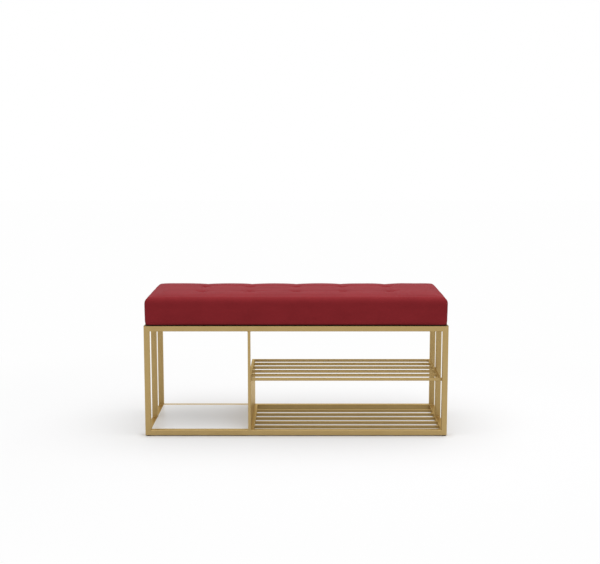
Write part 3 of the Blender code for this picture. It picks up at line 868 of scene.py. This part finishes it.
def cover_freedom(x, y, z):
    """How far the cover may swell off the foam here, from 0 to 1."""
    height = clamped((z - CUSHION_BOTTOM) / (FOAM_TOP - CUSHION_BOTTOM))
    on_top = clamped((height - TOP_FROM) / TOP_FADE)
    rearward = clamped((y / FOAM_HALF_Y + 1) / 2)
    beside = min(abs(x - tx) for tx in TUFTS_X)
    pitch = TUFTS_X[1] - TUFTS_X[0]
    arch = 1 - math.sin(math.pi * min(beside / pitch, 0.5))
    fold = FOLD_ARCH * arch + (1 - FOLD_ARCH) * math.exp(-beside / FOLD_WIDTH)
    fold *= FOLD_HOLD_FRONT + (FOLD_HOLD_REAR - FOLD_HOLD_FRONT) * rearward ** 2
    tuft = TUFT_HOLD * math.exp(-(nearest_tuft(x, y)[0] / TUFT_SPREAD) ** 2)
    return 1.0 - on_top * max(fold, tuft)


cushion = shape_object("velvet_cushion", cushion_form(), smooth=False)


def blown_cover(piece):
    """Where a short cloth simulation blows the cover round its tufts and its stapled hem."""
    held = piece.vertex_groups.new(name="held")
    for vertex in piece.data.vertices:
        x, y, z = vertex.co
        sewn = z > FOAM_TOP - 0.002 and nearest_tuft(x, y)[0] < TUFT_SEWN
        if z < CUSHION_BOTTOM + HEM_HELD or inside_recess(x, y, z) or sewn:
            held.add([vertex.index], 1.0, "REPLACE")
    cloth = piece.modifiers.new("velvet_cover", "CLOTH")
    settings = cloth.settings
    settings.quality = 4
    settings.mass = 0.35
    settings.tension_stiffness = 12.0
    settings.compression_stiffness = 8.0
    settings.shear_stiffness = 6.0
    settings.bending_stiffness = 0.4
    settings.use_pressure = True
    settings.uniform_pressure_force = 4.0
    settings.vertex_group_mass = "held"
    settings.effector_weights.gravity = 0.0
    cloth.collision_settings.use_collision = False
    scene.frame_start = 1
    scene.frame_end = CLOTH_FRAMES
    for number in range(1, CLOTH_FRAMES + 1):
        scene.frame_set(number)
    grown_piece = piece.evaluated_get(bpy.context.evaluated_depsgraph_get())
    moved = [v.co.copy() for v in grown_piece.to_mesh().vertices]
    grown_piece.to_mesh_clear()
    piece.modifiers.remove(cloth)
    scene.frame_set(1)
    piece.vertex_groups.clear()
    return moved


def fit_cover(piece, moved):
    """Lets each point go as far as the foam, the folds and the tufts allow. Part of the way
    is straight out, because the foam keeps the cover's corners full."""
    ways_out = [v.normal.copy() for v in piece.data.vertices]
    for vertex, target, way_out in zip(piece.data.vertices, moved, ways_out):
        step = target - vertex.co
        room = COVER_SWELL * cover_freedom(*vertex.co)
        if step.length < 1e-6 or room <= 0:
            continue
        blown = step * (room * (1 - math.exp(-step.length / room)) / step.length)
        blown -= way_out * min(0.0, blown.dot(way_out))
        full = way_out * room * (1 - math.exp(-5 * step.length / room))
        vertex.co += blown * CLOTH_SHARE + full * (1 - CLOTH_SHARE)


fit_cover(cushion, blown_cover(cushion))

refine = cushion.modifiers.new("fine_cloth", "SUBSURF")
refine.levels = 1
refine.render_levels = 1
fine = bpy.data.meshes.new_from_object(cushion.evaluated_get(bpy.context.evaluated_depsgraph_get()))
cushion.modifiers.clear()
cushion.data = fine

# The stitches pull a small pit and short creases round each tuft, and no two are alike
chance = random.Random(5)
TUFT_CREASES = [[(chance.choice((5, 6, 7)), chance.uniform(0, 6.3), chance.uniform(0.6, 1.1)),
                 (chance.choice((3, 4)), chance.uniform(0, 6.3), chance.uniform(0.5, 0.9))]
                for _ in range(len(TUFTS_X) * len(TUFTS_Y))]
outward = [v.normal.copy() for v in fine.vertices]
for vertex, way_out in zip(fine.vertices, outward):
    x, y, z = vertex.co
    if inside_recess(x, y, z) or z < CUSHION_BOTTOM + PLAIN_RISE:
        continue
    lift = UNEVEN_HEIGHT * noise.noise(Vector((x, y, z)) * UNEVEN_SCALE)
    if z > FOAM_TOP - 0.004:
        reach, tuft_x, tuft_y, number = nearest_tuft(x, y)
        lift -= PIT_DEPTH * math.exp(-(reach / PIT_RADIUS) ** 2)
        angle = math.atan2(y - tuft_y, x - tuft_x)
        ring = (reach / CREASE_REACH) * math.exp(1 - reach / CREASE_REACH)
        for count, phase, share in TUFT_CREASES[number]:
            lift += CREASE_HEIGHT * share * ring * math.cos(count * angle + phase)
    vertex.co += way_out * lift
fine.shade_smooth()


def velvet_material():
    """Short pile: brushed patches and flecks, with painted light making it brighter where it
    faces up, and painted shade darkening it along the lower edge."""
    material, tree, shader = new_finish("wine_red_velvet")
    spot = add_node(tree, "ShaderNodeTexCoord").outputs["Object"]
    nap = noisy(tree, spot, 1.0, 5.0, 0.55, stretch=(9.0, 16.0, 16.0))
    pile = noisy(tree, spot, 2600.0, 2.0)
    colour = blended(tree, spread(tree, nap, 0.3, 0.7),
                     (0.180, 0.0092, 0.0128, 1.0), (0.208, 0.0118, 0.0160, 1.0))
    colour = dimmed(tree, colour, spread(tree, pile, 0.3, 0.7, 0.86, 1.12))
    # Painted light: the colour is up to 12 % brighter where the cover faces up, for the light from
    # above.
    facing = add_node(tree, "ShaderNodeNewGeometry").outputs["Normal"]
    painted_light_facing_up = add_node(tree, "ShaderNodeSeparateXYZ", {0: facing}).outputs[2]
    colour = dimmed(tree, colour, spread(tree, painted_light_facing_up, 0.35, 0.95, 1.0, 1.12))
    # Painted shade: the lowest few millimetres of the cover's side are darkened to 30 %, for the
    # shadow in the gap above the rail; under the bottom it stays as it is.
    height = add_node(tree, "ShaderNodeSeparateXYZ", {0: spot}).outputs[2]
    painted_hem_shade = spread(tree, height, CUSHION_BOTTOM + 0.0015, CUSHION_BOTTOM + 0.0065, 0.30, 1.0,
                     smooth=True)
    under = worked(tree, "LESS_THAN", height, CUSHION_BOTTOM)
    colour = dimmed(tree, colour, worked(tree, "MAXIMUM", painted_hem_shade, under))
    surfaced(tree, shader, colour, pile, 0.35, 0.0003)
    shader.inputs["Roughness"].default_value = 0.85
    shader.inputs["Specular IOR Level"].default_value = 0.18
    shader.inputs["Sheen Weight"].default_value = 0.034
    shader.inputs["Sheen Roughness"].default_value = 0.45
    shader.inputs["Sheen Tint"].default_value = (1.0, 0.62, 0.78, 1.0)
    return material


red_velvet = velvet_material()
cushion.data.materials.clear()
cushion.data.materials.append(red_velvet)
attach(cushion, "root")
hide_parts("seat_cushion")


# The cover's corner seams: a fine ridge down each corner, where the cover's front, back
# and ends are sewn together before it goes over the foam.

cover_tree = BVHTree.FromPolygons([v.co.copy() for v in fine.vertices],
                                  [tuple(p.vertices) for p in fine.polygons])
SEAM_SIZE = 0.0007
SEAM_SINK = 0.0004
SEAM_POINTS = 24
SEAM_LOW = 0.0025
SEAM_HIGH = 0.0905
SEAM_FADE_POINTS = 5
SEAM_SEEN_FROM = (0.635, 0.285)


def cover_point(start, direction, sink):
    """Where a line from outside meets the cover, and a little below its surface."""
    spot, normal, _, _ = cover_tree.ray_cast(Vector(start), Vector(direction).normalized())
    return spot - normal * sink if spot else None


seam_paths = []
for side_x in (-1, 1):
    for side_y in (-1, 1):
        seam = []
        for left in reversed(range(SEAM_POINTS)):
            z = CUSHION_BOTTOM + SEAM_HIGH + (SEAM_LOW - SEAM_HIGH) * left / (SEAM_POINTS - 1)
            start = (side_x * SEAM_SEEN_FROM[0], side_y * SEAM_SEEN_FROM[1], z)
            spot = cover_point(start, (-side_x, -side_y, 0), SEAM_SINK)
            if spot:
                seam.append((spot, SEAM_SIZE * min(1.0, 0.35 + left / SEAM_FADE_POINTS)))
        seam_paths.append((seam, False))
seams = grown("corner_seams", path_mesh("seam_paths", seam_paths), beads_along_paths, {
    "Step": 0.0012, "Ripple": 0.10, "Ripple Pitch": 0.0030, "Sides": 8, "Material": red_velvet})
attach(seams, "root")


# The tufts' stitches: two short crossed loops of waxed red thread at the bottom of each
# tuft, which go down through the foam and are tied under the board.

red_thread = coated_material("red_thread", {
    "Colour": (0.27, 0.020, 0.026, 1.0), "Shade": (0.20, 0.013, 0.018, 1.0),
    "Worn": (0.32, 0.04, 0.045, 1.0), "Roughness": 0.6, "Grain Scale": 3000.0,
    "Mottle Scale": 400.0, "Edge Width": 0.0002, "Wear": 0.3}, 0.0, 0.4, 0.0001)
THREAD_SIZE = 0.00042
STITCH_REACH = 0.0032
STITCH_RISE = 0.0006
STITCH_DROP = 0.0014
STITCH_STEPS = 8
stitch_paths = []
for tuft_x in TUFTS_X:
    for tuft_y in TUFTS_Y:
        for way in (chance.uniform(0.5, 0.9), chance.uniform(-0.9, -0.5)):
            loop = []
            for step in range(STITCH_STEPS + 1):
                along = -1 + 2 * step / STITCH_STEPS
                x = tuft_x + STITCH_REACH * along * math.cos(way)
                y = tuft_y + STITCH_REACH * along * math.sin(way)
                spot = cover_point((x, y, 0.6), (0, 0, -1), 0.0)
                if spot:
                    spot.z += STITCH_RISE - STITCH_DROP * along ** 4
                    loop.append((spot, THREAD_SIZE))
            stitch_paths.append((loop, False))
stitches = grown("tuft_stitches", path_mesh("stitch_paths", stitch_paths), beads_along_paths, {
    "Step": 0.0005, "Ripple": 0.12, "Ripple Pitch": 0.0010, "Sides": 6, "Material": red_thread})
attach(stitches, "root")


# The cover's turned-under hem: the velvet goes round the board's edge and 35 mm in under
# it, folded at the corners and pulled flat between the board and the rails.

HEM_OUTER = (0.5335, 0.1835)
HEM_INNER = (0.4990, 0.1490)
HEM_TOP = CUSHION_BOTTOM - 0.00003
HEM_THICKNESS = 0.00022
HEM_STEP = 0.006
HEM_ROWS = 6
HEM_PUCKER = 0.0007
RAILS_CLEAR = (0.528, 0.178)
RAILS_FADE = 0.01


def hem_form():
    """A closed flat ring, lowered in small puckers where it is clear of the rails."""
    shape = bmesh.new()
    counts = [round(2 * half / HEM_STEP) for half in HEM_OUTER]
    rings = []
    for share in [i / HEM_ROWS for i in range(HEM_ROWS + 1)]:
        half_x = HEM_OUTER[0] + (HEM_INNER[0] - HEM_OUTER[0]) * share
        half_y = HEM_OUTER[1] + (HEM_INNER[1] - HEM_OUTER[1]) * share
        ring = []
        for side in range(4):
            count = counts[side % 2]
            for i in range(count):
                along = -1 + 2 * i / count
                x, y = [(along * half_x, -half_y), (half_x, along * half_y),
                        (-along * half_x, half_y), (-half_x, -along * half_y)][side]
                clear = clamped(min(RAILS_CLEAR[0] - abs(x), RAILS_CLEAR[1] - abs(y)) / RAILS_FADE)
                pucker = 0.5 + 0.5 * noise.noise(Vector((x * 45, y * 45, 3.0)))
                drop = HEM_PUCKER * clear * pucker * math.sin(math.pi * share) ** 2
                ring.append((x, y, -drop))
        rings.append(ring)
    upper = [[shape.verts.new((x, y, HEM_TOP + z)) for x, y, z in ring] for ring in rings]
    lower = [[shape.verts.new((x, y, HEM_TOP - HEM_THICKNESS + z)) for x, y, z in ring]
             for ring in rings]
    skin_rings(shape, [*upper, *reversed(lower), upper[0]])
    bmesh.ops.recalc_face_normals(shape, faces=shape.faces)
    return shape


hem = shape_object("cover_hem", hem_form())
hem.data.materials.append(red_velvet)
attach(hem, "root")


# The dust cover: black spun-bonded cloth over the raw edge of the hem, its own edge turned
# in, stapled to the board every 55 mm and held nearly flat.

DUST_HALF_X = 0.508
DUST_HALF_Y = 0.1555
DUST_TOP = 0.40775
DUST_FOLD = 0.012
DUST_SAG = 0.0022
DUST_SLACK = 0.0009
DUST_DOUBLED = 0.0003
DUST_COLUMNS = 170
DUST_ROWS = 54
STAPLE_PITCH = 0.055
STAPLE_END = 0.012
STAPLE_INSET = 0.006

black_cloth = coated_material("black_dust_cloth", {
    "Colour": (0.021, 0.021, 0.022, 1.0), "Shade": (0.012, 0.012, 0.013, 1.0),
    "Worn": (0.04, 0.04, 0.04, 1.0), "Roughness": 0.92, "Grain Scale": 900.0,
    "Mottle Scale": 35.0, "Edge Width": 0.0003, "Wear": 0.2}, 0.0, 0.8, 0.0004)


def staple_places():
    """Points along the dust cover's edge, with the edge's heading at each."""
    places = []
    for half, reach, turned in ((DUST_HALF_X, DUST_HALF_Y, False), (DUST_HALF_Y, DUST_HALF_X, True)):
        last = half - STAPLE_END
        count = round(2 * last / STAPLE_PITCH)
        for i in range(count + 1):
            along = -last + 2 * last * i / count
            for side in (-1, 1):
                across = side * (reach - STAPLE_INSET)
                if turned and i in (0, count):
                    continue
                places.append(((across, along) if turned else (along, across), turned))
    return places


STAPLE_SPOTS = staple_places()


def dust_height(x, y):
    """The cloth hangs a little in the middle and puckers up to each staple."""
    edge = min(DUST_HALF_X - abs(x), DUST_HALF_Y - abs(y))
    nearest = min(math.hypot(x - px, y - py) for (px, py), _ in STAPLE_SPOTS)
    slack = DUST_SLACK * (1 - math.exp(-(nearest / 0.016) ** 2)) * math.exp(-edge / 0.03)
    sag = DUST_SAG * (1 - (x / DUST_HALF_X) ** 2) * (1 - (y / DUST_HALF_Y) ** 2)
    return -slack - sag - 0.00025 * noise.noise(Vector((x * 30, y * 30, 0.0)))


def dust_form():
    """An even grid, lower by the turned-in edge where the cloth is doubled."""
    shape = bmesh.new()
    xs = [-DUST_HALF_X + 2 * DUST_HALF_X * i / DUST_COLUMNS for i in range(DUST_COLUMNS + 1)]
    ys = [-DUST_HALF_Y + 2 * DUST_HALF_Y * i / DUST_ROWS for i in range(DUST_ROWS + 1)]
    grid = []
    for y in ys:
        row = []
        for x in xs:
            edge = min(DUST_HALF_X - abs(x), DUST_HALF_Y - abs(y))
            doubled = DUST_DOUBLED if edge < DUST_FOLD else 0.0
            row.append(shape.verts.new((x, y, DUST_TOP + dust_height(x, y) - doubled)))
        grid.append(row)
    for low, high in zip(grid, grid[1:]):
        for i in range(DUST_COLUMNS):
            shape.faces.new((low[i], high[i], high[i + 1], low[i + 1]))
    return shape


dust_cover = shape_object("dust_cover", dust_form())
dust_cover.data.materials.append(black_cloth)
wall = dust_cover.modifiers.new("cloth_thickness", "SOLIDIFY")
wall.thickness = 0.00025
wall.offset = 0.0
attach(dust_cover, "root")


# The staples: flat zinc wire, 10 mm across, shot up through the dust cover into the board.
# They run in a row along each edge, each a little askew, as a staple gun leaves them.

STAPLE_HALF = 0.005
STAPLE_WIRE = 0.00055
STAPLE_LIFT = 0.0006
STAPLE_SPINE = ((-1.0, 0.0013), (-0.99, 0.0004), (-0.93, 0.0),
                (0.93, 0.0), (0.99, 0.0004), (1.0, 0.0013))
STAPLE_SECTION = ((-1, -0.35), (-0.55, -0.6), (0.55, -0.6), (1, -0.35), (1, 0.4), (-1, 0.4))


def one_staple():
    """The crown and its two bent shoulders, as a rounded flat bar along X."""
    shape = bmesh.new()
    rings = [[shape.verts.new((share * STAPLE_HALF, side_y * STAPLE_WIRE,
                               rise + side_z * STAPLE_WIRE)) for side_y, side_z in STAPLE_SECTION]
             for share, rise in STAPLE_SPINE]
    skin_rings(shape, rings)
    shape.faces.new(rings[0])
    shape.faces.new(rings[-1])
    bmesh.ops.recalc_face_normals(shape, faces=shape.faces)
    return shape_object("one_staple", shape, smooth=False)


staple_points = []
for (x, y), turned in STAPLE_SPOTS:
    z = DUST_TOP + dust_height(x, y) - STAPLE_LIFT
    staple_points.append(((x, y, z), math.pi / 2 if turned else 0.0))
staple_shape = one_staple()
staples = grown("dust_cover_staples", point_mesh("staple_points", staple_points),
                copies_on_points, {"Piece": staple_shape, "Random Turn": 0.12, "Seed": 3,
                                   "Material": zinc_plate})
bpy.data.objects.remove(staple_shape)
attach(staples, "root")
